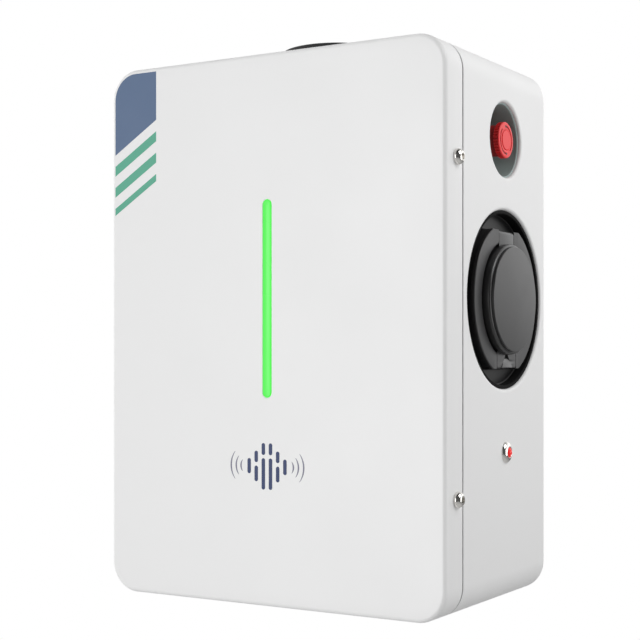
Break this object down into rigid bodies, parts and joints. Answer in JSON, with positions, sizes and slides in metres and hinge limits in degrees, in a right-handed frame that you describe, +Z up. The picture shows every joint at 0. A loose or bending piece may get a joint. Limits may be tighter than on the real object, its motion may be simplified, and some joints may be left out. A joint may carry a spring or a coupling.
{
  "type": "ev charger",
  "caption": "Wall-hung vehicle charging unit: white rounded box with a light bar, a side socket behind a hinged lid, an emergency stop, a status lamp and a bottom cable gland.",
  "frame": {"origin": "middle of the wall bracket's four holes, on the wall plane", "axes": "+Z up, +Y into the wall, +X to the side with the socket"},
  "size_m": [0.2769, 0.16, 0.4069],
  "materials": {
    "white_shell": "satin moulded, fine grain",
    "dark_seal": "matte",
    "bright_screw": "polished",
    "green_light": "clear, lit green",
    "board": "solder mask",
    "zinc_steel": "zinc plated",
    "black_shell": "satin moulded",
    "socket_black": "matte moulded",
    "socket_grey": "fine grain moulded",
    "recess_grey": "matte moulded",
    "stop_red": "satin moulded",
    "lamp_red": "clear, lit red",
    "module_grey": "matte moulded",
    "contact_silver": "silver plated",
    "soft_rubber": "matte"
  },
  "bodies": {
    "housing": {"rear_housing": "white_shell", "front_cover": "white_shell", "cover_seal": "dark_seal", "cover_screws": "bright_screw", "light_bar_lens": "green_light", "light_bar_board": "board", "reader_board": "board", "wall_bracket": "zinc_steel", "bracket_screws": "zinc_steel", "mounting_plate": "zinc_steel", "plate_screws": "zinc_steel", "mounting_rail": "zinc_steel", "contactor": "module_grey", "residual_current_unit": "module_grey", "terminal_block": "module_grey", "control_board": "board", "board_standoffs": "zinc_steel", "current_sensor": "black_shell", "antenna": "black_shell", "antenna_nut": "zinc_steel", "gland_body": "black_shell", "gland_seal": "soft_rubber", "gland_cap": "black_shell", "gland_nut": "black_shell", "stop_insert": "recess_grey", "stop_collar": "black_shell", "stop_nut": "zinc_steel", "stop_contact_block": "black_shell", "socket_cup": "socket_black", "socket_tube": "socket_black", "socket_flange": "socket_grey", "flange_screws": "zinc_steel", "socket_insulator": "socket_black", "socket_contacts": "contact_silver", "lid_pin": "zinc_steel", "lid_spring": "zinc_steel", "lock_actuator": "black_shell", "lamp_bezel": "bright_screw", "lamp_lens": "lamp_red", "lamp_nut": "zinc_steel"},
    "lid": {"socket_lid": "socket_grey", "lid_seal": "soft_rubber"},
    "stop_stem": {"stop_stem": "zinc_steel"},
    "stop_head": {"stop_head": "stop_red"},
    "lock_pin": {"lock_pin": "zinc_steel"}
  },
  "joints": [
    {"name": "lid_hinge", "type": "hinge", "parent": "housing", "child": "lid", "pos_m": [0.13, -0.068, 0.0628], "axis": [0, -1, 0], "range_deg": [0, 105], "stiffness_Nm_per_rad": 0.05, "springref_deg": -34.38},
    {"name": "stop_press", "type": "slide", "parent": "housing", "child": "stop_stem", "axis": [-1, 0, 0], "range_m": [0, 0.004], "stiffness_N_per_m": 800, "springref_m": -0.002},
    {"name": "stop_twist", "type": "hinge", "parent": "stop_stem", "child": "stop_head", "pos_m": [0.1325, -0.068, 0.128], "axis": [1, 0, 0], "range_deg": [-40, 0], "stiffness_Nm_per_rad": 0.05, "springref_deg": 11.46},
    {"name": "lock_slide", "type": "slide", "parent": "housing", "child": "lock_pin", "axis": [0, 0, -1], "range_m": [0, 0.005]}
  ]
}
